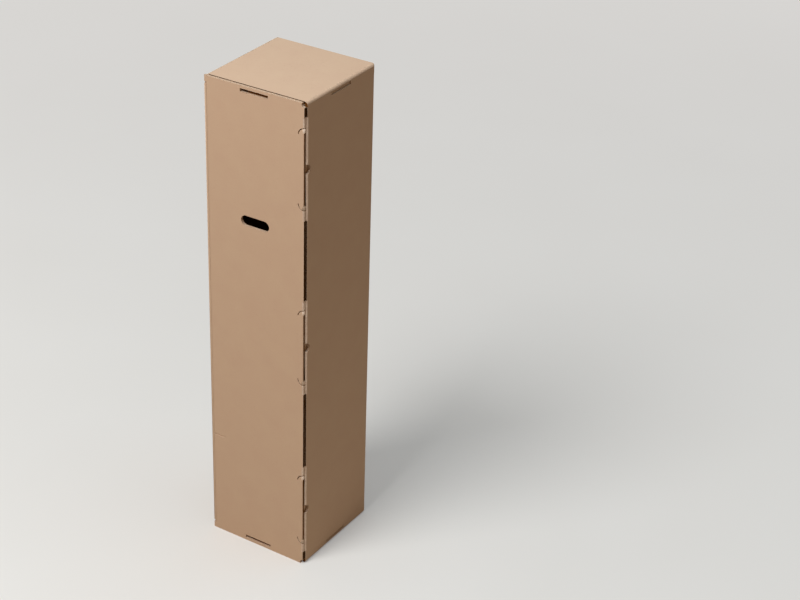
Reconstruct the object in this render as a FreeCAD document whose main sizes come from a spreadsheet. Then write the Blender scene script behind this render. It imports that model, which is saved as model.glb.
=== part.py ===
"""Tall folding shipping box for one bottle, die-cut and folded from a single sheet of board.

The box stands on its bottom end wall. Both end walls are double: the outer wall folds off the
right panel, rolls over along the left edge and comes back beneath itself, and its tabs lock it in
a slot at the right fold. The back and left panels wrap round between the end walls. The front
flap hinges on the left front crease and covers the whole front. Its three tabs tuck in behind
the right panel through slots in the crease of a narrow inner flange.

Millimetres, +Z up. The bodies are drawn about their mid height, because the sheet is the same
above and below it, and are then lifted by half the height, so the box stands on z = 0.
"""
import FreeCAD, Part
import math
import os

import Sketcher

QUARTER_TURN = math.pi / 2
AXIS_UP = FreeCAD.Vector(0, 0, 1)
# Outer radius of a fold as a share of the board, a little under one board so each face keeps a flat
END_FOLD_SHARE = 0.98
DUST_FOLD_SHARE = 0.9
# Two places closer than this, in millimetres, are the same place
SAME_PLACE = 0.01

DRIVING_SIZES = [
    ("box_height", 535.0),
    ("box_width", 120.0),
    ("box_depth", 119.0),
    ("board", 3.0),
    ("layer_gap", 0.3),
    ("crease_slot_slack", 0.75),
    ("flap_mitre_gap", 1.2),
    ("door_gap", 0.5),
    ("door_setback", 1.4),
    ("lip_round", 1.6),
    ("flange_width", 30.0),
    ("ear_depth", 40.0),
    ("ear_taper", 6.0),
    ("tab_pitch", 198.0),
    ("tab_zone", 109.0),
    ("tab_neck", 77.4),
    ("tab_reach", 15.0),
    ("tab_corner", 6.0),
    ("tab_fold_round", 2.2),
    ("slit_span", 86.8),
    ("slit_radius", 6.7),
    ("slit_cut", 1.0),
    ("notch_height", 10.0),
    ("notch_depth", 5.5),
    ("lock_slot_length", 33.0),
    ("front_tab_length", 24.0),
    ("tab_recess", 0.8),
    ("bite_radius", 3.0),
    ("bite_inset", 1.6),
    ("hand_hole_length", 34.2),
    ("hand_hole_height", 11.5),
    ("hand_hole_drop", 143.7),
]


class Size:
    """A length that carries its number and the sheet formula that gives it."""

    def __init__(self, formula, number):
        self.formula = formula
        self.number = number

    def joined(self, sign, other, number):
        return Size("(%s %s %s)" % (self.formula, sign, as_size(other).formula), number)

    def __add__(self, other):
        return self.joined("+", other, self.number + as_size(other).number)

    def __sub__(self, other):
        return self.joined("-", other, self.number - as_size(other).number)

    def __mul__(self, other):
        return self.joined("*", other, self.number * as_size(other).number)

    def __truediv__(self, other):
        return self.joined("/", other, self.number / as_size(other).number)

    def __neg__(self):
        return Size("(0 - %s)" % self.formula, -self.number)


def as_size(value):
    if isinstance(value, Size):
        return value
    return Size("%g" % value, float(value))


def make_sheet(doc):
    """Put the driving sizes in the spreadsheet and hand them back by name."""
    sheet = doc.addObject("Spreadsheet::Sheet", "Sizes")
    sizes = {}
    for row, (name, number) in enumerate(DRIVING_SIZES, start=1):
        sheet.set("A%d" % row, name)
        sheet.set("B%d" % row, str(number))
        sheet.setAlias("B%d" % row, name)
        sizes[name] = Size("Sizes.%s" % name, number)
    doc.recompute()
    return sizes


def bind(feature, prop, size):
    feature.setExpression(prop, as_size(size).formula)


def new_body(doc, name, lift):
    body = doc.addObject("PartDesign::Body", name)
    body.Label = name
    bind(body, "Placement.Base.z", lift)
    return body


def origin_feature(body, role):
    return [item for item in body.Origin.OriginFeatures if item.Role == role][0]


def new_sketch(body, name, plane, offset=0.0):
    """Sketch on one of the body's own planes, moved along that plane's normal."""
    sketch = body.newObject("Sketcher::SketchObject", name)
    sketch.AttachmentSupport = [(origin_feature(body, plane), "")]
    sketch.MapMode = "FlatFace"
    bind(sketch, "AttachmentOffset.Base.z", offset)
    return sketch


def fix_point(sketch, geometry, vertex, across, up):
    """Tie one end of a line or arc to the sketch origin by sheet formulas."""
    for kind, size in (("DistanceX", as_size(across)), ("DistanceY", as_size(up))):
        index = sketch.addConstraint(
            Sketcher.Constraint(kind, -1, 1, geometry, vertex, size.number))
        sketch.setExpression("Constraints[%d]" % index, size.formula)


def vector(across, up):
    return FreeCAD.Vector(as_size(across).number, as_size(up).number, 0)


def draw_outline(sketch, corners):
    """Closed outline of straight lines through the given corners."""
    first = sketch.GeometryCount
    count = len(corners)
    for number, corner in enumerate(corners):
        following = corners[(number + 1) % count]
        sketch.addGeometry(Part.LineSegment(vector(*corner), vector(*following)), False)
    for number, corner in enumerate(corners):
        sketch.addConstraint(Sketcher.Constraint(
            "Coincident", first + number, 2, first + (number + 1) % count, 1))
        fix_point(sketch, first + number, 1, *corner)


def draw_rectangle(sketch, left, right, low, high):
    draw_outline(sketch, [(left, low), (right, low), (right, high), (left, high)])


def draw_circle(sketch, across, up, radius):
    circle = sketch.addGeometry(Part.Circle(
        vector(across, up), AXIS_UP, as_size(radius).number), False)
    fix_point(sketch, circle, 3, across, up)
    index = sketch.addConstraint(Sketcher.Constraint("Radius", circle, as_size(radius).number))
    sketch.setExpression("Constraints[%d]" % index, as_size(radius).formula)


def draw_bent_strip(sketch, centre, outer, inner, ends):
    """Strip between two arcs about one centre; ends are the corners of its two straight ends.

    Each end is a pair of corners, on the outer and on the inner arc. The arcs turn
    anticlockwise from the first end to the second.
    """
    first = sketch.GeometryCount
    (outer_start, inner_start), (outer_stop, inner_stop) = ends
    for radius, start, stop in ((outer, outer_start, outer_stop),
                                (inner, inner_start, inner_stop)):
        circle = Part.Circle(vector(*centre), AXIS_UP, as_size(radius).number)
        sketch.addGeometry(Part.ArcOfCircle(
            circle, circle.parameter(vector(*start)), circle.parameter(vector(*stop))), False)
    sketch.addGeometry(Part.LineSegment(vector(*outer_start), vector(*inner_start)), False)
    sketch.addGeometry(Part.LineSegment(vector(*outer_stop), vector(*inner_stop)), False)
    joins = [(0, 1, 2, 1), (1, 1, 2, 2), (0, 2, 3, 1), (1, 2, 3, 2)]
    for arc, arc_end, line, line_end in joins:
        sketch.addConstraint(Sketcher.Constraint(
            "Coincident", first + arc, arc_end, first + line, line_end))
    for number, radius in ((0, outer), (1, inner)):
        fix_point(sketch, first + number, 3, *centre)
        index = sketch.addConstraint(
            Sketcher.Constraint("Radius", first + number, as_size(radius).number))
        sketch.setExpression("Constraints[%d]" % index, as_size(radius).formula)
    return first


def draw_corner_sliver(sketch, corner_x, corner_y, radius):
    """The sliver outside a right front corner of that radius, with room to spare around it."""
    spare = radius / 2
    turn = Part.Circle(vector(corner_x - radius, corner_y + radius), AXIS_UP, radius.number)
    arc = sketch.addGeometry(Part.ArcOfCircle(turn, -QUARTER_TURN, 0.0), False)
    corners = [
        (corner_x, corner_y + radius),
        (corner_x + spare, corner_y + radius),
        (corner_x + spare, corner_y - spare),
        (corner_x - radius, corner_y - spare),
        (corner_x - radius, corner_y),
    ]
    lines = []
    for start, stop in zip(corners, corners[1:]):
        lines.append(sketch.addGeometry(Part.LineSegment(vector(*start), vector(*stop)), False))
        fix_point(sketch, lines[-1], 1, *start)
    fix_point(sketch, lines[-1], 2, *corners[-1])
    for before, after in zip(lines, lines[1:]):
        sketch.addConstraint(Sketcher.Constraint("Coincident", before, 2, after, 1))
    sketch.addConstraint(Sketcher.Constraint("Coincident", arc, 2, lines[0], 1))
    sketch.addConstraint(Sketcher.Constraint("Coincident", lines[-1], 2, arc, 1))
    fix_one_way(sketch, "DistanceX", arc, 3, corner_x - radius)


def fix_one_way(sketch, kind, geometry, vertex, size):
    index = sketch.addConstraint(
        Sketcher.Constraint(kind, -1, 1, geometry, vertex, as_size(size).number))
    sketch.setExpression("Constraints[%d]" % index, as_size(size).formula)


def add_pad(body, name, sketch, length, midplane=False, reverse=False):
    pad = body.newObject("PartDesign::Pad", name)
    pad.Profile = sketch
    pad.Midplane = midplane
    pad.Reversed = reverse
    bind(pad, "Length", length)
    return pad


def add_pocket(body, name, sketch, length, midplane=False, reverse=False):
    pocket = body.newObject("PartDesign::Pocket", name)
    pocket.Profile = sketch
    pocket.Midplane = midplane
    pocket.Reversed = reverse
    bind(pocket, "Length", length)
    return pocket


def repeat_at_tabs(body, name, feature, size, place):
    """Repeat a feature of the lowest lock tab at the other tabs above it."""
    pattern = body.newObject("PartDesign::LinearPattern", name)
    pattern.Originals = [feature]
    pattern.Direction = (origin_feature(body, "Z_Axis"), [""])
    bind(pattern, "Length", size["tab_pitch"] * 2)
    pattern.Occurrences = len(place["tab_levels"])
    body.Tip = pattern


def mirror_ends(body, name, features):
    """Repeat features of the top end at the bottom end."""
    mirror = body.newObject("PartDesign::Mirrored", name)
    mirror.Originals = features
    mirror.MirrorPlane = (origin_feature(body, "XY_Plane"), [""])
    body.Tip = mirror
    return mirror


def edges_where(doc, body, test):
    """Names of the straight edges of the body's tip that pass a test on their middle and run."""
    doc.recompute()
    found = []
    for number, edge in enumerate(body.Tip.Shape.Edges, start=1):
        if edge.Curve.TypeId != "Part::GeomLine":
            continue
        start, stop = edge.Vertexes[0].Point, edge.Vertexes[-1].Point
        if test((start + stop) / 2, stop - start):
            found.append("Edge%d" % number)
    return found


def round_edges(doc, body, name, radius, test):
    names = edges_where(doc, body, test)
    if not names:
        raise RuntimeError("no edges found for " + name)
    fillet = body.newObject("PartDesign::Fillet", name)
    fillet.Base = (body.Tip if fillet.BaseFeature is None else fillet.BaseFeature, names)
    bind(fillet, "Radius", radius)
    return fillet


def near(first, second):
    return abs(first - as_size(second).number) < SAME_PLACE


def runs_along(run, axis):
    """True if an edge's run is along one axis only."""
    parts = {"x": run.x, "y": run.y, "z": run.z}
    length = abs(parts.pop(axis))
    return length > SAME_PLACE and all(abs(other) < SAME_PLACE for other in parts.values())


def shared_places(size):
    """Faces and lines of the folded sheet that more than one feature is set out from."""
    board, gap = size["board"], size["layer_gap"]
    place = {
        "right": size["box_width"] / 2,
        "left": -(size["box_width"] / 2),
        "back": size["box_depth"] / 2,
        "front": -(size["box_depth"] / 2),
        "top": size["box_height"] / 2,
    }
    place["flange_front"] = place["front"] + board + size["door_gap"]
    place["hinge_x"] = place["left"] + board / 2
    place["hinge_y"] = place["front"] + board / 2
    place["inner_low"] = place["top"] - board * 2 - gap
    place["inner_high"] = place["top"] - board - gap
    place["wrap_top"] = place["inner_low"] - gap
    place["slot_low"] = place["inner_low"] - gap
    place["slot_high"] = place["top"] - board
    place["lock_half"] = size["lock_slot_length"] / 2
    place["tab_outer"] = place["right"] - board - gap
    place["tab_radius"] = place["tab_outer"] - place["hinge_x"]
    place["flap_edge"] = place["right"] - size["door_setback"]
    place["tab_levels"] = [-size["tab_pitch"], as_size(0), size["tab_pitch"]]
    return place


def wrap_panels(doc, body, size, place):
    """Flange, right, back and left panels as one folded section, between the end walls."""
    board = size["board"]
    sketch = new_sketch(body, "WrapSection", "XY_Plane")
    flange_tip = place["right"] - size["flange_width"]
    draw_outline(sketch, [
        (flange_tip, place["flange_front"]),
        (place["right"], place["flange_front"]),
        (place["right"], place["back"]),
        (place["left"], place["back"]),
        (place["left"], place["hinge_y"]),
        (place["left"] + board, place["hinge_y"]),
        (place["left"] + board, place["back"] - board),
        (place["right"] - board, place["back"] - board),
        (place["right"] - board, place["flange_front"] + board),
        (flange_tip, place["flange_front"] + board),
    ])
    add_pad(body, "WrapPanels", sketch, place["wrap_top"] * 2, midplane=True)

    def is_back_fold(middle, run):
        at_side = near(abs(middle.x), place["right"])
        return runs_along(run, "z") and at_side and near(middle.y, place["back"])

    round_edges(doc, body, "BackFolds", board, is_back_fold)


def crease_bead(body, size, place):
    """Rounded front edge of the left panel, centred on the line that the front flap turns on."""
    sketch = new_sketch(body, "CreaseBeadSection", "XY_Plane")
    draw_circle(sketch, place["hinge_x"], place["hinge_y"], size["board"] / 2)
    height = (place["wrap_top"] - size["board"]) * 2
    add_pad(body, "CreaseBead", sketch, height, midplane=True)


def dust_flaps(doc, body, size, place):
    """Mitred flaps folded in off the left and back panels, under each double end wall."""
    board, depth, taper = size["board"], size["ear_depth"], size["ear_taper"]
    mitre = size["flap_mitre_gap"]
    sketch = new_sketch(body, "DustFlapOutlines", "XY_Plane", place["wrap_top"])
    inner_left = place["left"] + board / 2
    inner_back = place["back"] - board / 2
    draw_outline(sketch, [
        (inner_left, place["flange_front"] + board),
        (place["left"] + depth, place["flange_front"] + board + taper),
        (place["left"] + depth, place["back"] - depth - mitre),
        (inner_left, inner_back - mitre),
    ])
    draw_outline(sketch, [
        (inner_left + mitre, inner_back),
        (place["left"] + depth + mitre, place["back"] - depth),
        (place["right"] - board - taper, place["back"] - depth),
        (place["right"] - board - mitre, inner_back),
    ])
    flaps = add_pad(body, "DustFlaps", sketch, board, reverse=True)
    mirror_ends(body, "DustFlapsBelow", [flaps])

    def is_flap_fold(middle, run):
        at_end = near(abs(middle.z), place["wrap_top"])
        left_fold = runs_along(run, "y") and near(middle.x, place["left"])
        back_fold = runs_along(run, "x") and near(middle.y, place["back"])
        return at_end and (left_fold or back_fold)

    round_edges(doc, body, "DustFlapFolds", board * DUST_FOLD_SHARE, is_flap_fold)


def end_walls(doc, body, size, place):
    """Double end walls: off the right panel, rolled at the left edge and back beneath."""
    board = size["board"]
    depth = place["back"] - place["flange_front"]
    sketch = new_sketch(body, "EndRollSection", "XZ_Plane", -place["back"])
    draw_outline(sketch, [
        (place["right"], place["wrap_top"] - board),
        (place["right"], place["top"]),
        (place["left"], place["top"]),
        (place["left"], place["inner_low"]),
        (place["tab_outer"], place["inner_low"]),
        (place["tab_outer"], place["inner_high"]),
        (place["left"] + board, place["inner_high"]),
        (place["left"] + board, place["slot_high"]),
        (place["right"] - board, place["slot_high"]),
        (place["right"] - board, place["wrap_top"] - board),
    ])
    walls = add_pad(body, "EndWalls", sketch, depth)
    mirror_ends(body, "EndWallsBelow", [walls])

    def is_end_fold(middle, run):
        outer_edge = near(abs(middle.z), place["top"]) and near(abs(middle.x), place["right"])
        rolled_edge = near(abs(middle.z), place["inner_low"]) and near(middle.x, place["left"])
        return runs_along(run, "y") and (outer_edge or rolled_edge)

    round_edges(doc, body, "EndFolds", board * END_FOLD_SHARE, is_end_fold)


def end_wall_locks(body, size, place):
    """Slot at each right fold with the rolled wall's tab in it, and its tab to the front."""
    board, gap = size["board"], size["layer_gap"]
    half = place["lock_half"]
    slot = new_sketch(body, "FoldSlotOutline", "YZ_Plane", place["right"])
    draw_rectangle(slot, -half, half, place["slot_low"], place["slot_high"])
    cut = add_pocket(body, "FoldSlot", slot, board + gap / 2)
    mirror_ends(body, "FoldSlotBelow", [cut])

    side = new_sketch(body, "FoldTabOutline", "YZ_Plane", place["tab_outer"] - board)
    draw_rectangle(side, gap - half, half - gap, place["inner_low"], place["inner_high"])
    fold_tab = add_pad(body, "FoldTab", side, board * 2 + gap - size["tab_recess"])
    mirror_ends(body, "FoldTabBelow", [fold_tab])

    front = new_sketch(body, "FrontTabOutline", "XZ_Plane", -(place["flange_front"] + board))
    tab_right = half - gap * 2
    draw_rectangle(front, tab_right - size["front_tab_length"], tab_right,
                   place["inner_low"], place["inner_high"])
    reach = board * 2 + size["door_gap"] - size["tab_recess"]
    front_tab = add_pad(body, "FrontTab", front, reach)
    mirror_ends(body, "FrontTabBelow", [front_tab])


def crease_slots(body, size, place):
    """Long cuts in the flange's crease; six short bridges between them hold the flange."""
    board = size["board"]
    cut_right = place["right"] - board
    cut_left = cut_right - board - size["crease_slot_slack"]
    sketch = new_sketch(body, "CreaseSlotOutlines", "XZ_Plane", -place["front"])
    half_zone, half_neck = size["tab_zone"] / 2, size["tab_neck"] / 2
    for level in place["tab_levels"]:
        draw_rectangle(sketch, cut_left, cut_right, level - half_neck, level + half_neck)
    low_tab, middle_tab, high_tab = place["tab_levels"]
    for below, above in ((low_tab, middle_tab), (middle_tab, high_tab)):
        draw_rectangle(sketch, cut_left, cut_right, below + half_zone, above - half_zone)
    beyond = place["top"]
    draw_rectangle(sketch, cut_left, cut_right, high_tab + half_zone, beyond)
    draw_rectangle(sketch, cut_left, cut_right, -beyond, low_tab - half_zone)
    reach = place["flange_front"] + board + size["layer_gap"] - place["front"]
    add_pocket(body, "CreaseSlots", sketch, reach)


def round_at_tabs(body, name, size, place, corner):
    """Round the square front corner of a panel's edge beside each lock tab."""
    radius = size[name + "_round"]
    corner_x, corner_y = corner
    title = name.title().replace("_", "")
    sketch = new_sketch(body, title + "RoundSection", "XY_Plane", -size["tab_pitch"])
    draw_corner_sliver(sketch, corner_x, corner_y, radius)
    cut = add_pocket(body, title + "Round", sketch, size["tab_zone"], midplane=True)
    repeat_at_tabs(body, title + "Rounds", cut, size, place)


def thumb_notches(body, size, place):
    """Half-round notches in the right panel's front edge, one over each lock tab."""
    radius = size["notch_height"] / 2
    sketch = new_sketch(body, "ThumbNotchOutlines", "YZ_Plane", place["right"])
    for level in place["tab_levels"]:
        draw_circle(sketch, place["flange_front"] + size["notch_depth"] - radius, level, radius)
    add_pocket(body, "ThumbNotches", sketch, size["board"] + size["layer_gap"] / 2)


def make_box_body(doc, size, place):
    body = new_body(doc, "box_body", size["box_height"] / 2)
    wrap_panels(doc, body, size, place)
    dust_flaps(doc, body, size, place)
    crease_bead(body, size, place)
    crease_slots(body, size, place)
    round_at_tabs(body, "lip", size, place, (place["right"], place["flange_front"]))
    thumb_notches(body, size, place)
    end_walls(doc, body, size, place)
    end_wall_locks(body, size, place)
    return body


def flap_panel(doc, body, size, place):
    """The front flap as a flat panel, full height, with its rounded crease edge."""
    board = size["board"]
    sketch = new_sketch(body, "FlapSection", "XY_Plane")
    draw_rectangle(sketch, place["hinge_x"], place["flap_edge"],
                   place["front"], place["front"] + board)
    add_pad(body, "FlapPanel", sketch, place["top"] * 2, midplane=True)
    bead = new_sketch(body, "FlapBeadSection", "XY_Plane")
    draw_circle(bead, place["hinge_x"], place["hinge_y"], board / 2)
    add_pad(body, "FlapBead", bead, place["top"] * 2, midplane=True)


def hinge_relief(body, size, place):
    """Room between the ends for the left panel's rounded edge, which the flap turns round."""
    board, gap = size["board"], size["layer_gap"]
    sketch = new_sketch(body, "HingeReliefOutline", "XZ_Plane", -place["front"] + board)
    half_height = place["wrap_top"] + gap
    draw_rectangle(sketch, place["left"] - board, place["left"] + board + gap,
                   -half_height, half_height)
    add_pocket(body, "HingeRelief", sketch, board * 3)


def lock_tabs(doc, body, size, place):
    """Three tabs folded back off the free edge, curved about the hinge so that they slide in."""
    board = size["board"]
    outer = place["tab_radius"]
    inner = outer - board
    start_y = place["hinge_y"]
    stop_y = place["hinge_y"] + size["tab_reach"]
    sketch = new_sketch(body, "LockTabSection", "XY_Plane", -size["tab_pitch"])
    centre = (place["hinge_x"], place["hinge_y"])

    def on_arc(radius, up):
        drop = as_size(up).number - centre[1].number
        run = (radius.number ** 2 - drop ** 2) ** 0.5
        return (centre[0].number + run, as_size(up).number)

    ends = ((on_arc(outer, start_y), on_arc(inner, start_y)),
            (on_arc(outer, stop_y), on_arc(inner, stop_y)))
    first = draw_bent_strip(sketch, centre, outer, inner, ends)
    for arc in (first, first + 1):
        fix_one_way(sketch, "DistanceY", arc, 1, start_y)
        fix_one_way(sketch, "DistanceY", arc, 2, stop_y)
    length = size["tab_neck"] - size["layer_gap"] * 2
    tab = add_pad(body, "LockTab", sketch, length, midplane=True)
    repeat_at_tabs(body, "LockTabs", tab, size, place)

    def is_tab_corner(middle, run):
        return abs(run.z) < SAME_PLACE and near(middle.y, stop_y)

    round_edges(doc, body, "LockTabCorners", size["tab_corner"], is_tab_corner)


def tab_slits(body, size, place):
    """Quarter-round slits through the flap at the ends of each lock tab."""
    cut = size["slit_cut"] / 2
    outer = size["slit_radius"] + cut
    inner = size["slit_radius"] - cut
    edge = place["flap_edge"]
    rise = size["slit_span"] / 2 - size["slit_radius"]
    sketch = new_sketch(body, "TabSlitOutlines", "XZ_Plane", -place["front"])
    for level in place["tab_levels"]:
        for up in (1, -1):
            centre = (edge, level + rise * up)
            at_edge = ((edge, centre[1] + outer * up), (edge, centre[1] + inner * up))
            inside = ((edge - outer, centre[1]), (edge - inner, centre[1]))
            ends = (at_edge, inside) if up > 0 else (inside, at_edge)
            first = draw_bent_strip(sketch, centre, outer, inner, ends)
            for arc in (first, first + 1):
                edge_vertex, inside_vertex = (1, 2) if up > 0 else (2, 1)
                fix_one_way(sketch, "DistanceX", arc, edge_vertex, edge)
                fix_one_way(sketch, "DistanceY", arc, inside_vertex, centre[1])
    add_pocket(body, "TabSlits", sketch, size["board"])


def flap_slots(body, size, place):
    """Slots near both ends of the flap, which the inner end walls' front tabs enter."""
    sketch = new_sketch(body, "LockSlotOutline", "XZ_Plane", -place["front"])
    half = place["lock_half"]
    draw_rectangle(sketch, -half, half, place["slot_low"], place["slot_high"])
    cut = add_pocket(body, "LockSlot", sketch, size["board"])
    mirror_ends(body, "LockSlotBelow", [cut])


def corner_bites(body, size, place):
    """Round relief cut out of both corners of the flap's free edge."""
    sketch = new_sketch(body, "CornerBiteOutline", "XZ_Plane", -place["front"])
    inset = size["bite_inset"]
    draw_circle(sketch, place["right"] - inset, place["top"] - inset, size["bite_radius"])
    cut = add_pocket(body, "CornerBite", sketch, size["board"])
    mirror_ends(body, "CornerBiteBelow", [cut])


def hand_hole(body, size, place):
    """Stadium-shaped hand hole through the front flap."""
    radius = size["hand_hole_height"] / 2
    reach = size["hand_hole_length"] / 2 - radius
    level = place["top"] - size["hand_hole_drop"]
    sketch = new_sketch(body, "HandHoleOutline", "XZ_Plane", -place["front"])
    right_turn = Part.Circle(vector(reach, level), AXIS_UP, radius.number)
    left_turn = Part.Circle(vector(-reach, level), AXIS_UP, radius.number)
    sketch.addGeometry(Part.ArcOfCircle(right_turn, -QUARTER_TURN, QUARTER_TURN), False)
    sketch.addGeometry(Part.ArcOfCircle(left_turn, QUARTER_TURN, QUARTER_TURN * 3), False)
    sketch.addGeometry(Part.LineSegment(
        vector(reach, level + radius), vector(-reach, level + radius)), False)
    sketch.addGeometry(Part.LineSegment(
        vector(-reach, level - radius), vector(reach, level - radius)), False)
    for arc, arc_end, line, line_end in ((0, 2, 2, 1), (1, 1, 2, 2), (1, 2, 3, 1), (0, 1, 3, 2)):
        sketch.addConstraint(Sketcher.Constraint("Tangent", arc, arc_end, line, line_end))
    fix_point(sketch, 0, 3, reach, level)
    fix_point(sketch, 1, 3, -reach, level)
    index = sketch.addConstraint(Sketcher.Constraint("Radius", 0, radius.number))
    sketch.setExpression("Constraints[%d]" % index, radius.formula)
    add_pocket(body, "HandHole", sketch, size["board"])


def make_front_flap(doc, size, place):
    body = new_body(doc, "front_flap", size["box_height"] / 2)
    flap_panel(doc, body, size, place)
    hinge_relief(body, size, place)
    round_at_tabs(body, "tab_fold", size, place, (place["flap_edge"], place["front"]))
    lock_tabs(doc, body, size, place)
    tab_slits(body, size, place)
    flap_slots(body, size, place)
    corner_bites(body, size, place)
    hand_hole(body, size, place)
    return body


def check_document(doc):
    for item in doc.Objects:
        if "Invalid" in item.State or "Error" in item.State:
            raise RuntimeError("%s failed: %s" % (item.Name, item.State))


def write_step(body):
    shape = body.Shape
    if shape.isNull() or not shape.isValid() or len(shape.Solids) != 1:
        raise RuntimeError("%s is not one valid solid" % body.Label)
    shape.exportStep("parts/%s.step" % body.Label)
    print("%s: %.1f cm3" % (body.Label, shape.Volume / 1000.0))


def main():
    doc = FreeCAD.newDocument("BottleShippingBox")
    size = make_sheet(doc)
    place = shared_places(size)
    bodies = [make_box_body(doc, size, place), make_front_flap(doc, size, place)]
    doc.recompute()
    check_document(doc)
    os.makedirs("parts", exist_ok=True)
    for body in bodies:
        write_step(body)


main()
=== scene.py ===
"""A tall folding shipping box of brown corrugated board, dressed for the picture.

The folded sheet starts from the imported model's own mesh. Here a few of its creases, edges and
corners are moved inwards by up to about a millimetre and a half, its faces are sorted into paper
liner and cut board, the open ends of the flutes are hollowed out along the cut edges, and the
corrugated middle ply is laid into them.
"""

import math

import bmesh
import bpy
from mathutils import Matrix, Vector
from mathutils.bvhtree import BVHTree

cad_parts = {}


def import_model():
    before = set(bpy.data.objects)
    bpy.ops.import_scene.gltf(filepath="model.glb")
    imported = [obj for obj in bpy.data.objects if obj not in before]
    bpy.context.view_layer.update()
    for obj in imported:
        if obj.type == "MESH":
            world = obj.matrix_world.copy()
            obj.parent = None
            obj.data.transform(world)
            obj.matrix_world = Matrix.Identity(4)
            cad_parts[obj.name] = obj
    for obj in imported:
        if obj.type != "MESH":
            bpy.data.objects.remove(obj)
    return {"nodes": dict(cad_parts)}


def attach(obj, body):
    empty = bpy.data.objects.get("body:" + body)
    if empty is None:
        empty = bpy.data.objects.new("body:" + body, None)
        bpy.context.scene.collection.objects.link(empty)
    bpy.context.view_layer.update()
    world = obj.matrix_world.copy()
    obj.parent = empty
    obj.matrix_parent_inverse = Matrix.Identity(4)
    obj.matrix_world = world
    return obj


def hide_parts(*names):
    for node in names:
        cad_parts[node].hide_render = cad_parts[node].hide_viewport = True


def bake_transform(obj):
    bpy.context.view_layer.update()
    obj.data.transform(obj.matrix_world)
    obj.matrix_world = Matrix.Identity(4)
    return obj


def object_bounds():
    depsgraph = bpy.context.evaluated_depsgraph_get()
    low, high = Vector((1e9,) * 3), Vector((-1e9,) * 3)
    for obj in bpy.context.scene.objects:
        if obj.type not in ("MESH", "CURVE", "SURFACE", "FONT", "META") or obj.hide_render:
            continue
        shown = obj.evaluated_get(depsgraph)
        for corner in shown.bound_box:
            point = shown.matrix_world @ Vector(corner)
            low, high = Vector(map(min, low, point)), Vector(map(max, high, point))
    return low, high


# Real sizes of the board and of its papers
MM = 0.001
BOARD = 3.0 * MM
LAYER_GAP = 0.3 * MM
LINER = 0.28 * MM
FLUTE_PITCH = 6.5 * MM
FLUTE_PLY = 0.24 * MM
FLUTE_STEPS = 12
FLUTE_DEPTH = 4.0 * MM
PLY_SET_IN = 0.4 * MM
EDGE_GROOVE = 0.35 * MM

# The three lock tabs and the slots between them, on the right front edge
TAB_PITCH = 198.0 * MM
TAB_ZONE = 109.0 * MM
TAB_NECK = 77.4 * MM
SLOT_START = 4.8 * MM
DOOR_GAP = 0.5 * MM
FOLD_ROUND = 2.2 * MM
LIP_ROUND = 1.6 * MM
CREASE_SHARE = 0.35
CREASE_UNDERCUT = 0.7 * MM
CREASE_SHIFT = 0.4 * MM
CREASE_RAMP = 0.5 * MM

# The end walls, their lock tabs and their back corners
END_SETBACK = 1.0 * MM
END_RAMP = 0.5 * MM
END_STRIP = 1.6 * MM
LOCK_TAB_SINK = 1.5 * MM
CORNER_ROUND = 2.5 * MM
CORNER_PULL = 0.75 * MM

# The dent low on the front flap; its level is a share of the height, its slope one of its length
DENT_LEVEL = 0.23
DENT_START = 3.5 * MM
DENT_LENGTH = 15.0 * MM
DENT_HALF_WIDTH = 1.1 * MM
DENT_DEPTH = 0.8 * MM
DENT_SLOPE = 0.2

# The liner round the hinge crease
HINGE_LIFT = 0.02 * MM
HINGE_LAP = 1.6 * MM
HINGE_PLY = 0.06 * MM
HINGE_STEPS = 12

# How near two places have to be to count as the same
WELD = 0.001 * MM
TOUCH = 0.01 * MM
EDGE_SLACK = 0.05 * MM
JUST_UNDER, JUST_OVER = 0.99, 1.01

# How much of a face's normal lies along an axis
BARELY = 0.05
SLIGHTLY = 0.1
LEANING = 0.3
HALFWAY = 0.5
MOSTLY = 0.9
FACING = 0.99
SQUARE_ON = 0.999

# Rays that feel how thick the board is behind a face, from its centre and part way to its corners
RAY_SPREAD = 0.4
RAY_START = 0.02 * MM
RAY_REACH = 200.0 * MM
ONE_BOARD = 1.55 * BOARD

# Real sizes of the papers' and the paint's patterns, in millimetres
FORMATION_CLOUD = 22.0
DARK_FIBRE = 2.4
PALE_FIBRE = 1.5
FIBRE_STRETCH = 2.6
PAPER_TOOTH = 0.5
FOLD_SCUFF = 3.0
TORN_FIBRE = 1.1
FLUTING_SPECK = 0.9
PAINT_CLOUD = 260.0

# Length of one band of Blender's wave texture at scale 1
WAVE_PERIOD = math.pi / 10

# The photograph's viewing angle and frame; distances are in heights of the box
CAMERA_AZIMUTH = 35.35
CAMERA_PITCH = 29.66
CAMERA_DISTANCE = 3.775
CAMERA_RAISE = 0.016
CAMERA_LENS = 87.63
CAMERA_SHIFT = 0.1375
SENSOR_WIDTH = 36.0

# The studio: the floor's radius in metres, and the surround's strength as light and as seen
FLOOR_RADIUS = 9.0
SURROUND_LIGHT = 0.2
SURROUND_SEEN = 0.52

# Places of the four finishes in a board's list of materials
LINER_SLOT, CUT_SLOT, PAINTED_SHADE_SLOT, FOLD_PALING_AND_HIGHLIGHT_SLOT = 0, 1, 2, 3


def colour(hex_code):
    """sRGB hex to the linear values that the shaders use."""
    channels = []
    for start in (0, 2, 4):
        value = int(hex_code[start:start + 2], 16) / 255
        linear = value / 12.92 if value <= 0.04045 else ((value + 0.055) / 1.055) ** 2.4
        channels.append(linear)
    return (*channels, 1.0)


def add_node(tree, kind, inputs=None, **settings):
    """Add a node with its settings; an input is given a value or the socket that feeds it."""
    node = tree.nodes.new(kind)
    for name, value in settings.items():
        setattr(node, name, value)
    for name, value in (inputs or {}).items():
        if isinstance(value, bpy.types.NodeSocket):
            tree.links.new(value, node.inputs[name])
        else:
            node.inputs[name].default_value = value
    return node


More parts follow.
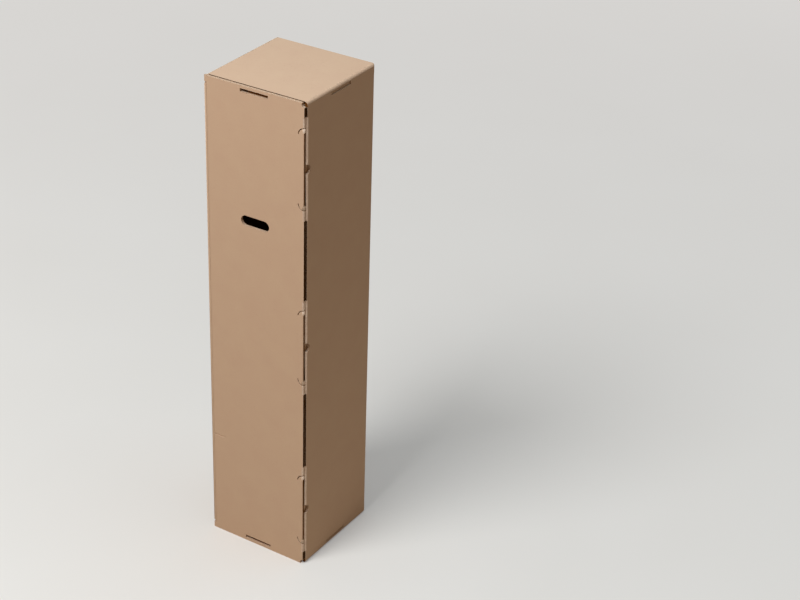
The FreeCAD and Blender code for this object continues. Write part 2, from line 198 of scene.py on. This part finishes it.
def new_material(name):
    """Bare material with one principled shader."""
    material = bpy.data.materials.new(name)
    material.use_nodes = True
    tree = material.node_tree
    tree.nodes.clear()
    shader = add_node(tree, "ShaderNodeBsdfPrincipled")
    add_node(tree, "ShaderNodeOutputMaterial", {"Surface": shader.outputs["BSDF"]})
    return material, tree, shader


def millimetres(tree):
    """Place on the board in millimetres, so that pattern scales are one over a real size."""
    place = add_node(tree, "ShaderNodeTexCoord")
    scaled = add_node(tree, "ShaderNodeVectorMath", {0: place.outputs["Object"], "Scale": 1000.0},
                      operation="SCALE")
    return scaled.outputs["Vector"]


def kraft_liner():
    """Brown kraft linerboard, unbleached and uncoated, off a paper machine.

    Long wood fibres give it small dark and pale flecks on an even warm brown, a cloudy
    formation a couple of centimetres across, and a dry, matt, faintly toothed face. The
    flutes under it show as a very slight washboard. The real tooth is finer than half a
    millimetre, and is drawn that coarse to show.
    """
    material, tree, shader = new_material("kraft_linerboard")
    place = millimetres(tree)
    cloud = add_node(tree, "ShaderNodeTexNoise", {
        "Vector": place, "Scale": 1.0 / FORMATION_CLOUD, "Detail": 3.0, "Roughness": 0.55})
    cloud_share = add_node(tree, "ShaderNodeMapRange", {
        "Value": cloud.outputs["Fac"], "From Min": 0.3, "From Max": 0.7})
    clouded = add_node(tree, "ShaderNodeMix", {
        0: cloud_share.outputs["Result"], 6: colour("c3a182"), 7: colour("c5a484")},
        data_type="RGBA")

    grain = add_node(tree, "ShaderNodeMapping", {
        "Vector": place, "Scale": (1.0, 1.0, FIBRE_STRETCH)})
    dark_fibre = add_node(tree, "ShaderNodeTexNoise", {
        "Vector": grain.outputs["Vector"], "Scale": 1.0 / DARK_FIBRE,
        "Detail": 4.0, "Roughness": 0.72})
    dark_share = add_node(tree, "ShaderNodeMapRange", {
        "Value": dark_fibre.outputs["Fac"], "From Min": 0.60, "From Max": 0.74, "To Max": 0.26})
    dark_flecked = add_node(tree, "ShaderNodeMix", {
        0: dark_share.outputs["Result"], 6: clouded.outputs[2], 7: colour("8f6f52")},
        data_type="RGBA")
    pale_fibre = add_node(tree, "ShaderNodeTexNoise", {
        "Vector": grain.outputs["Vector"], "Scale": 1.0 / PALE_FIBRE,
        "Detail": 3.0, "Roughness": 0.7})
    pale_share = add_node(tree, "ShaderNodeMapRange", {
        "Value": pale_fibre.outputs["Fac"], "From Min": 0.62, "From Max": 0.78, "To Max": 0.22})
    paper = add_node(tree, "ShaderNodeMix", {
        0: pale_share.outputs["Result"], 6: dark_flecked.outputs[2], 7: colour("d8bfa2")},
        data_type="RGBA")

    tooth = add_node(tree, "ShaderNodeTexNoise", {
        "Vector": place, "Scale": 1.0 / PAPER_TOOTH, "Detail": 2.0, "Roughness": 0.6})
    washboard = add_node(tree, "ShaderNodeTexWave", {
        "Vector": place, "Scale": WAVE_PERIOD / (FLUTE_PITCH / MM), "Distortion": 0.4},
        wave_type="BANDS", bands_direction="Z")
    ribs = add_node(tree, "ShaderNodeMapRange", {
        "Value": washboard.outputs["Fac"], "To Max": 0.10})
    relief = add_node(tree, "ShaderNodeMath", {
        0: ribs.outputs["Result"], 1: tooth.outputs["Fac"]}, operation="ADD")
    bump = add_node(tree, "ShaderNodeBump", {
        "Height": relief.outputs[0], "Strength": 0.35, "Distance": 0.12 * MM})

    tree.links.new(paper.outputs[2], shader.inputs["Base Color"])
    tree.links.new(bump.outputs["Normal"], shader.inputs["Normal"])
    shader.inputs["Roughness"].default_value = 0.86
    shader.inputs["Specular IOR Level"].default_value = 0.25
    shader.inputs["IOR"].default_value = 1.45
    return material


def creased_liner_paling_and_highlight():
    """Kraft linerboard stretched hard over a fold: its fibres part, so that it turns paler, and a
    painted highlight makes it paler still, for the light that the rounded fold catches.
    """
    material, tree, shader = new_material("kraft_liner_at_fold_paling_and_painted_highlight")
    scuff = add_node(tree, "ShaderNodeTexNoise", {
        "Vector": millimetres(tree), "Scale": 1.0 / FOLD_SCUFF, "Detail": 3.0, "Roughness": 0.6})
    scuff_share = add_node(tree, "ShaderNodeMapRange", {
        "Value": scuff.outputs["Fac"], "From Min": 0.35, "From Max": 0.65})
    # Both colours are paler than the flat liner: partly the real paling of stretched fibres, partly
    # a painted highlight.
    paper = add_node(tree, "ShaderNodeMix", {
        0: scuff_share.outputs["Result"], 6: colour("d0b398"), 7: colour("dec5ab")},
        data_type="RGBA")
    bump = add_node(tree, "ShaderNodeBump", {
        "Height": scuff.outputs["Fac"], "Strength": 0.4, "Distance": 0.12 * MM})
    tree.links.new(paper.outputs[2], shader.inputs["Base Color"])
    tree.links.new(bump.outputs["Normal"], shader.inputs["Normal"])
    shader.inputs["Roughness"].default_value = 0.9
    shader.inputs["Specular IOR Level"].default_value = 0.2
    return material


def cut_board():
    """Die-cut edge of the board: torn fibre ends, rougher and more broken than the liner."""
    material, tree, shader = new_material("die_cut_board_edge")
    torn = add_node(tree, "ShaderNodeTexNoise", {
        "Vector": millimetres(tree), "Scale": 1.0 / TORN_FIBRE, "Detail": 4.0, "Roughness": 0.7})
    torn_share = add_node(tree, "ShaderNodeMapRange", {
        "Value": torn.outputs["Fac"], "From Min": 0.35, "From Max": 0.68})
    paper = add_node(tree, "ShaderNodeMix", {
        0: torn_share.outputs["Result"], 6: colour("a5866a"), 7: colour("cdb193")},
        data_type="RGBA")
    bump = add_node(tree, "ShaderNodeBump", {
        "Height": torn.outputs["Fac"], "Strength": 0.6, "Distance": 0.2 * MM})
    tree.links.new(paper.outputs[2], shader.inputs["Base Color"])
    tree.links.new(bump.outputs["Normal"], shader.inputs["Normal"])
    shader.inputs["Roughness"].default_value = 0.95
    shader.inputs["Specular IOR Level"].default_value = 0.15
    return material


def fluting_with_painted_shade():
    """Fluting medium deep between the liners: its brown paper is painted much darker and warmer, as
    painted shade for the shade that lies there.
    """
    material, tree, shader = new_material("fluting_medium_painted_shade")
    speck = add_node(tree, "ShaderNodeTexNoise", {
        "Vector": millimetres(tree), "Scale": 1.0 / FLUTING_SPECK, "Detail": 3.0,
        "Roughness": 0.65})
    speck_share = add_node(tree, "ShaderNodeMapRange", {
        "Value": speck.outputs["Fac"], "From Min": 0.35, "From Max": 0.7})
    # Painted shade: both colours are far darker than the fluting paper itself.
    paper = add_node(tree, "ShaderNodeMix", {
        0: speck_share.outputs["Result"], 6: colour("58320f"), 7: colour("6f4822")},
        data_type="RGBA")
    tree.links.new(paper.outputs[2], shader.inputs["Base Color"])
    shader.inputs["Roughness"].default_value = 0.95
    shader.inputs["Specular IOR Level"].default_value = 0.0
    return material


def pale_floor():
    """Matt painted studio floor, pale and even.

    The paint is lifted a little for the camera alone, more so far off, so that the floor runs
    into the pale surround without lighting the box.
    """
    material, tree, shader = new_material("matt_pale_paint")
    place = millimetres(tree)
    cloud = add_node(tree, "ShaderNodeTexNoise", {
        "Vector": place, "Scale": 1.0 / PAINT_CLOUD, "Detail": 2.0, "Roughness": 0.5})
    paint = add_node(tree, "ShaderNodeMix", {
        0: cloud.outputs["Fac"], 6: colour("d0c8ba"), 7: colour("d5cec1")}, data_type="RGBA")
    distance = add_node(tree, "ShaderNodeVectorMath", {0: place}, operation="LENGTH")
    lift = add_node(tree, "ShaderNodeMapRange", {
        "Value": distance.outputs["Value"], "From Min": 300.0, "From Max": 2600.0,
        "To Min": 0.19, "To Max": 0.64})
    ray = add_node(tree, "ShaderNodeLightPath")
    seen_lift = add_node(tree, "ShaderNodeMath", {
        0: lift.outputs["Result"], 1: ray.outputs["Is Camera Ray"]}, operation="MULTIPLY")
    tree.links.new(paint.outputs[2], shader.inputs["Base Color"])
    tree.links.new(seen_lift.outputs[0], shader.inputs["Emission Strength"])
    shader.inputs["Emission Color"].default_value = colour("edf1f4")
    shader.inputs["Roughness"].default_value = 0.9
    shader.inputs["Specular IOR Level"].default_value = 0.1
    return material


class CutEdge:
    """A straight cut edge of the board: its plane, its run and the two faces it lies between."""

    def __init__(self, normal, run, faces, low, high):
        self.normal_axis, self.normal_sign, self.level = normal
        self.run_axis = run
        self.face_axis, self.face_low, self.face_high = faces
        self.low = low
        self.high = high

    def holds(self, point, slack=EDGE_SLACK):
        """Whether a point lies on the cut edge."""
        on_plane = abs(point[self.normal_axis] - self.level) < slack
        in_run = self.low - slack < point[self.run_axis] < self.high + slack
        in_board = self.face_low - slack < point[self.face_axis] < self.face_high + slack
        return on_plane and in_run and in_board


def layout(box_low, box_high):
    """The few levels that the cut edges are set out from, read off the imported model's box."""
    middle = (box_low.z + box_high.z) / 2
    half = (box_high.z - box_low.z) / 2
    return {
        "left": box_low.x, "right": box_high.x,
        "front": box_low.y, "back": box_high.y,
        "base": box_low.z, "top": box_high.z,
        "middle": middle, "half": half,
        "panel_front": box_low.y + BOARD + DOOR_GAP,
        "inner_low": half - 2 * BOARD - LAYER_GAP,
        "inner_high": half - BOARD - LAYER_GAP,
        "wrap_top": half - 2 * BOARD - 2 * LAYER_GAP,
    }


def plain_stretches(place):
    """Stretches of the right front edge with no lock tab, as pairs of heights."""
    middle, half = place["middle"], place["half"]
    reach = TAB_ZONE / 2
    return [
        (middle - half + SLOT_START, middle - TAB_PITCH - reach),
        (middle - TAB_PITCH + reach, middle - reach),
        (middle + reach, middle + TAB_PITCH - reach),
        (middle + TAB_PITCH + reach, middle + half - SLOT_START),
    ]


def flap_edges(place, flap_edge):
    """Cut ends of the flutes down the front flap's free edge."""
    faces = (1, place["front"], place["front"] + BOARD)
    return [CutEdge((0, 1, flap_edge), 2, faces, low, high)
            for low, high in plain_stretches(place)]


def body_edges(place):
    """Cut ends of the flutes on the right panel's front edge and the end walls."""
    edges = []
    side_faces = (0, place["right"] - BOARD, place["right"])
    for low, high in plain_stretches(place):
        edges.append(CutEdge((1, -1, place["panel_front"]), 2, side_faces, low, high))
    start, stop = place["left"] + BOARD, place["right"] - BOARD
    for side in (1, -1):
        layers = [(place["half"] - BOARD, place["half"], stop),
                  (place["inner_low"], place["inner_high"], stop - LAYER_GAP)]
        for inner, outer, end in layers:
            levels = sorted((place["middle"] + side * inner, place["middle"] + side * outer))
            front = place["panel_front"] + (END_SETBACK if outer == place["half"] else 0.0)
            for sign, level in ((-1, front), (1, place["back"])):
                edges.append(CutEdge((1, sign, level), 0, (2, *levels), start, end))
    return edges


def slice_mesh(bm, axis, level):
    """Cut every face along one plane square to an axis, so later picks stop there."""
    normal = Vector((0, 0, 0))
    normal[axis] = 1.0
    point = Vector((0, 0, 0))
    point[axis] = level
    geometry = bm.verts[:] + bm.edges[:] + bm.faces[:]
    bmesh.ops.bisect_plane(bm, geom=geometry, dist=WELD / 10, plane_co=point, plane_no=normal)


def sheet_mesh(node):
    """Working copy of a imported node's mesh in the object's frame."""
    bm = bmesh.new()
    bm.from_mesh(node.data)
    bm.transform(node.matrix_world)
    bmesh.ops.remove_doubles(bm, verts=bm.verts[:], dist=WELD)
    return bm


def is_axis_face(face):
    """Whether a face looks straight along one of the three axes."""
    return max(abs(part) for part in face.normal) > SQUARE_ON


def sort_faces(bm, is_liner):
    """Paper liner where one board's thickness lies behind a face, cut board elsewhere."""
    bm.normal_update()
    tree = BVHTree.FromBMesh(bm)
    for face in bm.faces:
        centre = face.calc_center_median()
        thin = backed_by_one_board(tree, face, centre)
        face.material_index = LINER_SLOT if thin or is_liner(centre, face.normal) else CUT_SLOT
        one_bend = min(abs(face.normal.y), abs(face.normal.z)) < BARELY
        face.smooth = (face.material_index == LINER_SLOT and one_bend
                       and not is_axis_face(face))


def backed_by_one_board(tree, face, centre):
    """Whether most of the spots tried on a face have one board's thickness behind them."""
    inward = -face.normal
    spots = [centre] + [centre.lerp(vertex.co, RAY_SPREAD) for vertex in face.verts]
    thin = 0
    for spot in spots:
        distance = tree.ray_cast(spot + inward * RAY_START, inward, RAY_REACH)[3]
        if distance is not None and distance < ONE_BOARD:
            thin += 1
    return thin * 2 >= len(spots)


def near_tab(place, height, reach):
    """Whether a height lies within reach of the middle of one of the three lock tabs."""
    return any(abs(height - place["middle"] - shift) < reach
               for shift in (-TAB_PITCH, 0.0, TAB_PITCH))


def share(value, start, stop):
    """How far a value is on its way from start to stop, between 0 and 1."""
    return min(1.0, max(0.0, (value - start) / (stop - start)))


def sink_between_liners(bm, picked, axis, shift, slot):
    """Leave a liner's thickness round the picked flat faces and sink what lies inside it."""
    inward = Vector((0, 0, 0))
    inward[axis] = shift
    bmesh.ops.inset_region(bm, faces=picked, thickness=LINER, depth=0.0, use_boundary=True)
    before = set(bm.faces)
    sunk = bmesh.ops.extrude_face_region(bm, geom=picked)["geom"]
    bmesh.ops.translate(bm, vec=inward,
                        verts=[item for item in sunk if isinstance(item, bmesh.types.BMVert)])
    left_over = [face for face in picked if face.is_valid]
    bmesh.ops.delete(bm, geom=left_over, context="FACES")
    for face in bm.faces:
        if face not in before:
            face.material_index = slot


def hollow_edge(bm, edge):
    """Sink the open flutes of a cut edge between its two liners."""
    picked = [face for face in bm.faces
              if face.normal[edge.normal_axis] * edge.normal_sign > FACING
              and edge.holds(face.calc_center_median())
              and all(edge.holds(vertex.co) for vertex in face.verts)]
    if picked:
        # The sunk flutes take the dark fluting finish, which is painted shade.
        sink_between_liners(bm, picked, edge.normal_axis, -edge.normal_sign * FLUTE_DEPTH,
                            PAINTED_SHADE_SLOT)


def groove_edge(bm, axis, level, sign):
    """Slight groove between the liners where the cut runs along the flutes."""
    picked = [face for face in bm.faces
              if face.normal[axis] * sign > FACING
              and abs(face.calc_center_median()[axis] - level) < 2 * TOUCH]
    sink_between_liners(bm, picked, axis, -sign * EDGE_GROOVE, CUT_SLOT)


def sharpen_tab_creases(bm, place, flap_edge):
    """Fold each lock tab hard over at its neck, so that a dark gap opens beside it."""
    half_neck = TAB_NECK / 2
    corner = Vector((flap_edge, place["front"], 0))
    for shift in (-TAB_PITCH, 0.0, TAB_PITCH):
        centre = place["middle"] + shift
        for level in (half_neck, half_neck - CREASE_RAMP):
            slice_mesh(bm, 2, centre + level)
            slice_mesh(bm, 2, centre - level)
        for vertex in bm.verts:
            if abs(vertex.co.z - centre) > half_neck - 0.9 * CREASE_RAMP:
                continue
            in_x = flap_edge - vertex.co.x
            in_y = vertex.co.y - place["front"]
            if in_x < FOLD_ROUND * JUST_OVER and in_y < FOLD_ROUND * JUST_UNDER:
                vertex.co.x = corner.x - CREASE_SHIFT - in_x * CREASE_SHARE
                vertex.co.y = corner.y + in_y * CREASE_SHARE
            elif in_x < TOUCH and in_y < BOARD * JUST_OVER:
                vertex.co.x -= CREASE_UNDERCUT


def set_back_ends(bm, place):
    """Set the end walls' front cut edges back behind the closed flap, and sink their lock tabs."""
    start, stop = place["left"] + BOARD, place["right"] - BOARD
    front = place["panel_front"]
    slice_mesh(bm, 0, start + END_RAMP)
    slice_mesh(bm, 0, stop - END_RAMP)
    slice_mesh(bm, 1, front + END_STRIP)
    for vertex in bm.verts:
        spot = vertex.co
        in_outer = abs(spot.z - place["middle"]) > place["half"] - BOARD - TOUCH
        along = min(share(spot.x, start, start + END_RAMP), share(spot.x, stop, stop - END_RAMP))
        if in_outer and spot.y > front - TOUCH:
            spot.y += END_SETBACK * along * share(spot.y, front + END_STRIP, front)
        elif spot.y < front - BOARD / 2 and along == 1.0:
            spot.y += LOCK_TAB_SINK


def round_end_corners(bm, place):
    """Take the square corners of the end walls in to meet the rounded upright folds."""
    right, back = place["right"], place["back"]
    slice_mesh(bm, 1, back - CORNER_ROUND)
    for vertex in bm.verts:
        spot = vertex.co
        is_corner = abs(spot.x) > right - TOUCH and spot.y > back - TOUCH
        start = place["wrap_top"] - (BOARD if is_corner else 0.0)
        if abs(spot.z - place["middle"]) > start - TOUCH:
            pull = (CORNER_PULL * share(spot.y, back - CORNER_ROUND, back)
                    * share(abs(spot.x), right - BOARD, right))
            spot.x -= math.copysign(pull, spot.x)
            spot.y -= pull


def press_dent(bm, place):
    """Short level dent that something pressed into the flap near its crease."""
    level = place["base"] + DENT_LEVEL * (place["top"] - place["base"])
    start = place["left"] + DENT_START
    for offset in (-DENT_HALF_WIDTH, 0.0, DENT_HALF_WIDTH):
        slice_mesh(bm, 2, level + offset)
    for part in (0.0, DENT_SLOPE, 1.0 - DENT_SLOPE, 1.0):
        slice_mesh(bm, 0, start + part * DENT_LENGTH)
    for vertex in bm.verts:
        on_face = abs(vertex.co.y - place["front"]) < TOUCH
        along = (vertex.co.x - start) / DENT_LENGTH
        in_length = DENT_SLOPE / 2 < along < 1.0 - DENT_SLOPE / 2
        if on_face and in_length and abs(vertex.co.z - level) < TOUCH:
            vertex.co.y += DENT_DEPTH


def finish_mesh(bm, name, materials):
    """Turn the working mesh into a named piece of the scene."""
    mesh = bpy.data.meshes.new(name)
    bm.to_mesh(mesh)
    bm.free()
    for material in materials:
        mesh.materials.append(material)
    piece = bpy.data.objects.new(name, mesh)
    bpy.context.scene.collection.objects.link(piece)
    return piece


def flute_ply(edges, name, materials):
    """The corrugated middle ply, laid as a wave into each hollowed edge."""
    bm = bmesh.new()
    for edge in edges:
        lay_wave(bm, edge)
    return finish_mesh(bm, name, materials)


def lay_wave(bm, edge):
    """One thin wavy strip of fluting between the liners of a cut edge."""
    start, stop = edge.low + LINER, edge.high - LINER
    steps = int((stop - start) / FLUTE_PITCH * FLUTE_STEPS)
    centre = (edge.face_low + edge.face_high) / 2
    swing = BOARD / 2 - LINER - FLUTE_PLY / 2
    rows = []
    for step in range(steps + 1):
        run = start + (stop - start) * step / steps
        angle = 2 * math.pi * (run - start) / FLUTE_PITCH
        slope = math.atan2(swing * 2 * math.pi / FLUTE_PITCH * math.cos(angle), 1.0)
        row = []
        for side, depth in ((1, PLY_SET_IN), (1, FLUTE_DEPTH), (-1, FLUTE_DEPTH), (-1, PLY_SET_IN)):
            point = Vector((0, 0, 0))
            point[edge.run_axis] = run - side * FLUTE_PLY / 2 * math.sin(slope)
            point[edge.face_axis] = (centre + swing * math.sin(angle)
                                     + side * FLUTE_PLY / 2 * math.cos(slope))
            point[edge.normal_axis] = edge.level - edge.normal_sign * depth
            row.append(bm.verts.new(point))
        rows.append(row)
    for first, second in zip(rows, rows[1:]):
        for corner in range(4):
            following = (corner + 1) % 4
            bm.faces.new((first[corner], first[following], second[following], second[corner]))
    bm.faces.new(rows[0])
    bm.faces.new(list(reversed(rows[-1])))
    bmesh.ops.recalc_face_normals(bm, faces=bm.faces[:])


def dress_front_edge(bm, place):
    """Finishes along the panels' front edge, behind the closed flap.

    The lip beside each lock tab is creased liner, paler partly from its stretched fibres and partly
    from a painted highlight.
    The end walls' lock tabs and the board behind the corner bites end in open flutes, whose shade
    is painted on with the dark fluting finish.
    """
    front = place["panel_front"]
    for face in bm.faces:
        centre = face.calc_center_median()
        if face.normal.y > -BARELY or centre.y > front + LIP_ROUND:
            continue
        at_corner = (abs(centre.z - place["middle"]) > place["half"] - SLOT_START
                     and centre.x > place["right"] - 2 * BOARD and centre.y < front + EDGE_SLACK)
        lock_tab = centre.y < front - BOARD / 4 and centre.x > place["left"] + 3 * BOARD
        on_lip = centre.x > place["right"] - BOARD and near_tab(place, centre.z, TAB_ZONE / 2)
        # Painted shade: the dark fluting finish on the corner's flute ends and on the lock tabs'
        # ends.
        if at_corner or lock_tab:
            face.material_index = PAINTED_SHADE_SLOT
        # Painted highlight, with some real paling: the pale fold finish on the lip.
        elif on_lip and face.material_index != PAINTED_SHADE_SLOT:
            face.material_index = FOLD_PALING_AND_HIGHLIGHT_SLOT


def dress_tab_folds(bm, place, flap_edge):
    """Creased liner, paler and with a painted highlight, on the round folds beside the necks;
    painted shade on the liner in the hard creases.
    """
    for face in bm.faces:
        centre = face.calc_center_median()
        in_fold = (centre.x > flap_edge - FOLD_ROUND and centre.y < place["front"] + BOARD
                   and near_tab(place, centre.z, TAB_ZONE / 2) and face.normal.x > LEANING)
        if not in_fold:
            continue
        if not near_tab(place, centre.z, TAB_NECK / 2):
            # Painted highlight, with some real paling: the pale fold finish on the round fold.
            face.material_index = FOLD_PALING_AND_HIGHLIGHT_SLOT
        elif face.normal.x > MOSTLY and centre.y > place["front"] + FOLD_ROUND * CREASE_SHARE:
            # Painted shade: the dark fluting finish on the liner of the hard crease's side face.
            face.material_index = PAINTED_SHADE_SLOT


def box_board(frame, place, materials):
    """The folded sheet behind the front flap."""
    bm = sheet_mesh(frame["nodes"]["box_body"])
    for low, high in plain_stretches(place):
        slice_mesh(bm, 2, low)
        slice_mesh(bm, 2, high)
    for level in (place["half"] - BOARD, place["inner_high"], place["inner_low"]):
        slice_mesh(bm, 2, place["middle"] + level)
        slice_mesh(bm, 2, place["middle"] - level)
    for level in (place["left"] + BOARD, place["right"] - BOARD,
                  place["right"] - BOARD - LAYER_GAP):
        slice_mesh(bm, 0, level)

    set_back_ends(bm, place)
    round_end_corners(bm, place)

    def is_bead(centre, normal):
        """The rolled left front corner, liner all round whatever the face's normal."""
        return centre.x < place["left"] + BOARD and centre.y < place["front"] + BOARD

    sort_faces(bm, is_bead)
    edges = body_edges(place)
    for edge in edges:
        hollow_edge(bm, edge)
    dress_front_edge(bm, place)
    board = finish_mesh(bm, "box_board", materials)
    # The ply takes the dark fluting finish, which is painted shade.
    plies = flute_ply(edges, "box_flutes", [materials[PAINTED_SHADE_SLOT]])
    for piece in (board, plies):
        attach(piece, "box")
    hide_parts("box_body")


def flap_board(frame, place, materials):
    """The front flap, with its lock tabs, slits, slots and hand hole."""
    bm = sheet_mesh(frame["nodes"]["front_flap"])
    flap_edge = max(vertex.co.x for vertex in bm.verts)
    for low, high in plain_stretches(place):
        slice_mesh(bm, 2, low)
        slice_mesh(bm, 2, high)
    press_dent(bm, place)
    sharpen_tab_creases(bm, place, flap_edge)

    def is_folded(centre, normal):
        """The rounded board at the hinge crease and at the lock tabs' folds."""
        if centre.x < place["left"] + BOARD:
            return abs(normal.z) < HALFWAY
        return (centre.x > flap_edge - 2 * BOARD and near_tab(place, centre.z, TAB_ZONE / 2)
                and abs(normal.z) < HALFWAY
                and (abs(normal.x) > FACING or abs(normal.y) > SLIGHTLY))

    sort_faces(bm, is_folded)
    edges = flap_edges(place, flap_edge)
    for edge in edges:
        hollow_edge(bm, edge)
    dress_tab_folds(bm, place, flap_edge)
    groove_edge(bm, 2, place["top"], 1)
    groove_edge(bm, 2, place["base"], -1)
    board = finish_mesh(bm, "flap_board", materials)
    # The ply takes the dark fluting finish, which is painted shade.
    plies = flute_ply(edges, "flap_flutes", [materials[PAINTED_SHADE_SLOT]])
    for piece in (board, plies):
        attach(piece, "flap")
    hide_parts("front_flap")


def hinge_crease(place, liner):
    """Outer liner carried round the crease between the left panel and the front flap."""
    radius = BOARD / 2 + HINGE_LIFT
    centre = Vector((place["left"] + BOARD / 2, place["front"] + BOARD / 2, 0))
    profile = [Vector((-radius, HINGE_LAP, 0))]
    for step in range(HINGE_STEPS + 1):
        angle = math.pi + step / HINGE_STEPS * math.pi / 2
        profile.append(Vector((math.cos(angle), math.sin(angle), 0)) * radius)
    profile.append(Vector((HINGE_LAP, -radius, 0)))
    low = place["middle"] - place["wrap_top"] + BOARD
    high = place["middle"] + place["wrap_top"] - BOARD
    bm = bmesh.new()
    rings = []
    for point in profile:
        inner = point - point.normalized() * HINGE_PLY
        rings.append([bm.verts.new(centre + spot + Vector((0, 0, level)))
                      for spot, level in ((point, low), (point, high), (inner, high),
                                          (inner, low))])
    for first, second in zip(rings, rings[1:]):
        for corner in range(4):
            following = (corner + 1) % 4
            bm.faces.new((first[corner], first[following], second[following], second[corner]))
    bm.faces.new(rings[0])
    bm.faces.new(list(reversed(rings[-1])))
    bmesh.ops.recalc_face_normals(bm, faces=bm.faces[:])
    for face in bm.faces:
        face.smooth = not is_axis_face(face)
    skin_piece = finish_mesh(bm, "hinge_crease", [liner])
    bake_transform(skin_piece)


def studio(place):
    """Pale floor, a broad key light from above the front, a cooler top light, a weak surround."""
    bm = bmesh.new()
    bmesh.ops.create_circle(bm, cap_ends=True, radius=FLOOR_RADIUS, segments=96)
    floor = finish_mesh(bm, "floor", [pale_floor()])
    floor.location.z = place["base"]

    target = Vector((0, 0, place["middle"]))
    add_lamp("key", target, Vector((-0.25, -1.1, 1.65)), size=1.0, watts=40.0, tint="ecf3ff")
    add_lamp("top", target, Vector((0.2, 0.2, 2.2)), size=1.5, watts=19.5, tint="b3deff")

    world = bpy.data.worlds.new("studio_surround")
    bpy.context.scene.world = world
    world.use_nodes = True
    tree = world.node_tree
    tree.nodes.clear()
    seen = add_node(tree, "ShaderNodeLightPath").outputs["Is Camera Ray"]
    strength = add_node(tree, "ShaderNodeMath", {0: seen, 1: SURROUND_SEEN, 2: SURROUND_LIGHT},
                        operation="MULTIPLY_ADD")
    tint = add_node(tree, "ShaderNodeMix", {0: seen, 6: colour("ffd6ac"), 7: colour("efeeec")},
                    data_type="RGBA")
    surround = add_node(tree, "ShaderNodeBackground", {
        "Color": tint.outputs[2], "Strength": strength.outputs[0]})
    add_node(tree, "ShaderNodeOutputWorld", {"Surface": surround.outputs["Background"]})


def add_lamp(name, target, offset, size, watts, tint):
    """Round soft lamp, set off from the target and turned to face it."""
    data = bpy.data.lights.new(name, "AREA")
    data.shape = "DISK"
    data.size = size
    data.energy = watts
    data.color = colour(tint)[:3]
    lamp = bpy.data.objects.new(name, data)
    lamp.location = target + offset
    lamp.rotation_euler = (-offset).to_track_quat("-Z", "Y").to_euler()
    bpy.context.scene.collection.objects.link(lamp)


def photo_camera(place):
    """Camera at the photograph's viewing angle; the box stands left of the middle of the frame."""
    azimuth, pitch = math.radians(CAMERA_AZIMUTH), math.radians(CAMERA_PITCH)
    height = place["top"] - place["base"]
    back = Vector((math.sin(azimuth) * math.cos(pitch), -math.cos(azimuth) * math.cos(pitch),
                   math.sin(pitch)))
    up = Vector((-math.sin(azimuth) * math.sin(pitch), math.cos(azimuth) * math.sin(pitch),
                 math.cos(pitch)))
    data = bpy.data.cameras.new("photo_camera")
    data.sensor_width = SENSOR_WIDTH
    data.lens = CAMERA_LENS
    data.shift_x = CAMERA_SHIFT
    camera = bpy.data.objects.new("photo_camera", data)
    centre = Vector((0, 0, place["middle"]))
    camera.location = centre + (back * CAMERA_DISTANCE + up * CAMERA_RAISE) * height
    camera.rotation_euler = (-back).to_track_quat("-Z", "Y").to_euler()
    bpy.context.scene.collection.objects.link(camera)
    bpy.context.scene.camera = camera


def main():
    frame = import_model()
    cad_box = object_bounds()
    place = layout(Vector(cad_box[0]), Vector(cad_box[1]))
    liner = kraft_liner()
    materials = [liner, cut_board(), fluting_with_painted_shade(), creased_liner_paling_and_highlight()]
    box_board(frame, place, materials)
    flap_board(frame, place, materials)
    hinge_crease(place, liner)
    studio(place)
    photo_camera(place)
    bpy.context.scene.view_settings.view_transform = "Standard"


main()
